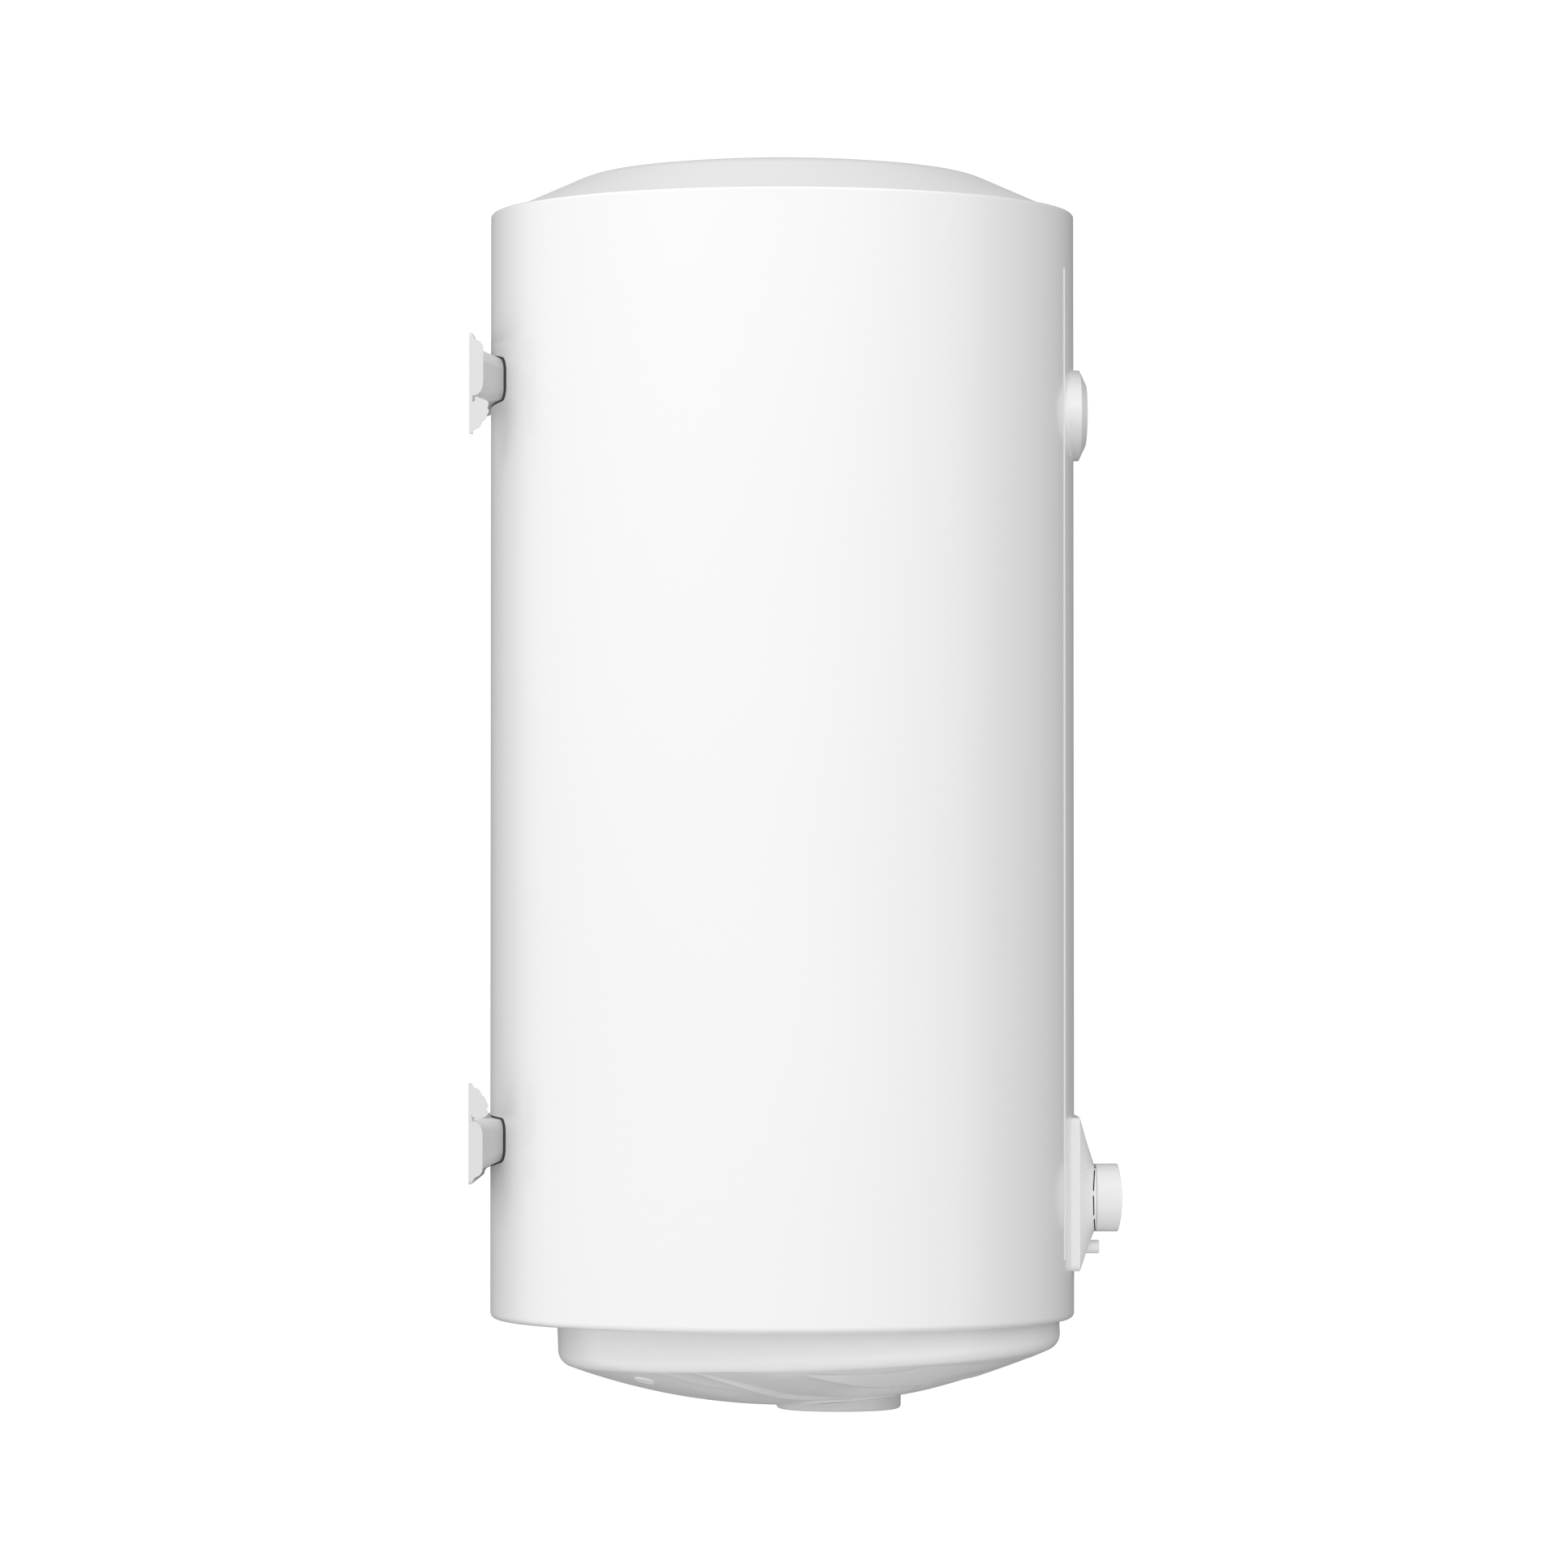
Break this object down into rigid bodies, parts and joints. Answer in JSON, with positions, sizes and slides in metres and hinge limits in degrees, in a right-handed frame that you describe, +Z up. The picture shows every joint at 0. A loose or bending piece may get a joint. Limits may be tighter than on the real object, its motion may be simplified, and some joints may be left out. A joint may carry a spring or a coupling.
{
  "type": "tank water heater",
  "caption": "Wall-hung cylindrical electric storage water heater with domed lid, bowl-shaped service cover, knob and button panel, oval gauge and two pressed wall brackets.",
  "frame": {"origin": "centre of the wall bolt pattern, on the wall's surface, halfway between the two brackets", "axes": "+Z up, +Y into the wall, -Y towards the controls, +X to the right seen from the front"},
  "size_m": [0.4499, 0.4983, 0.9596],
  "materials": {
    "casing_white": "satin",
    "bracket_white": "satin",
    "lid_white": "satin",
    "trim_white": "satin",
    "dark_seal": "matte",
    "foam_yellow": "matte",
    "tank_steel": "satin",
    "pipe_zinc": "satin",
    "gasket_black": "matte",
    "flange_steel": "satin",
    "fastener_zinc": "satin",
    "element_copper": "satin",
    "magnesium_grey": "matte",
    "bead_ceramic": "matte",
    "body_black": "matte",
    "pointer_grey": "satin",
    "needle_red": "satin",
    "marker_blue": "satin",
    "marker_red": "satin",
    "dial_print": "satin",
    "window_clear": "gloss",
    "terminal_brass": "satin",
    "lead_sleeve": "satin"
  },
  "bodies": {
    "heater_body": {"outer_casing": "casing_white", "top_lid": "lid_white", "bottom_lid": "lid_white", "bottom_cover": "lid_white", "bottom_cover_plug": "lid_white", "cover_screw": "fastener_zinc", "cable_grommet": "trim_white", "upper_wall_bracket": "bracket_white", "lower_wall_bracket": "bracket_white", "upper_bracket_seal": "dark_seal", "lower_bracket_seal": "dark_seal", "tank_shell": "tank_steel", "tank_top_dome": "tank_steel", "tank_bottom_dome": "tank_steel", "foam_insulation": "foam_yellow", "cold_inlet_pipe": "pipe_zinc", "hot_outlet_pipe": "pipe_zinc", "cold_marker_ring": "marker_blue", "hot_marker_ring": "marker_red", "inlet_diffuser": "trim_white", "outlet_dip_tube": "flange_steel", "flange_collar": "tank_steel", "flange_gasket": "gasket_black", "heater_flange": "flange_steel", "flange_studs": "fastener_zinc", "flange_nuts": "fastener_zinc", "heating_element": "element_copper", "element_terminals": "bead_ceramic", "thermowell": "flange_steel", "anode_rod": "magnesium_grey", "anode_stud": "fastener_zinc", "safety_cutout": "body_black", "control_panel": "trim_white", "knob_seat": "body_black", "thermostat_body": "body_black", "thermostat_capillary": "element_copper", "thermostat_bulb": "element_copper", "power_switch": "body_black", "gauge_bezel": "trim_white", "gauge_dial": "dial_print", "gauge_window": "window_clear", "gauge_stem": "fastener_zinc", "terminal_block": "bead_ceramic", "terminal_screws": "terminal_brass", "earth_screw": "terminal_brass", "element_leads": "lead_sleeve"},
    "knob": {"control_knob": "trim_white", "knob_pointer": "pointer_grey", "knob_spindle": "fastener_zinc"},
    "power_button": {"power_button": "trim_white"},
    "gauge_pointer": {"gauge_needle": "needle_red"},
    "reset_pin": {"cutout_reset_button": "needle_red"}
  },
  "joints": [
    {"name": "knob_turn", "type": "hinge", "parent": "heater_body", "child": "knob", "pos_m": [0, -0.4872, -0.3365], "axis": [0, 1, 0], "range_deg": [-135, 135]},
    {"name": "power_button_press", "type": "slide", "parent": "heater_body", "child": "power_button", "axis": [0, 1, 0], "range_m": [0, 0.0025], "stiffness_N_per_m": 800},
    {"name": "gauge_needle_swing", "type": "hinge", "parent": "heater_body", "child": "gauge_pointer", "pos_m": [0, -0.4662, 0.2542], "axis": [0, 1, 0], "range_deg": [-55, 55]},
    {"name": "reset_pin_press", "type": "slide", "parent": "heater_body", "child": "reset_pin", "axis": [0, 0, 1], "range_m": [0, 0.0015], "stiffness_N_per_m": 600}
  ]
}
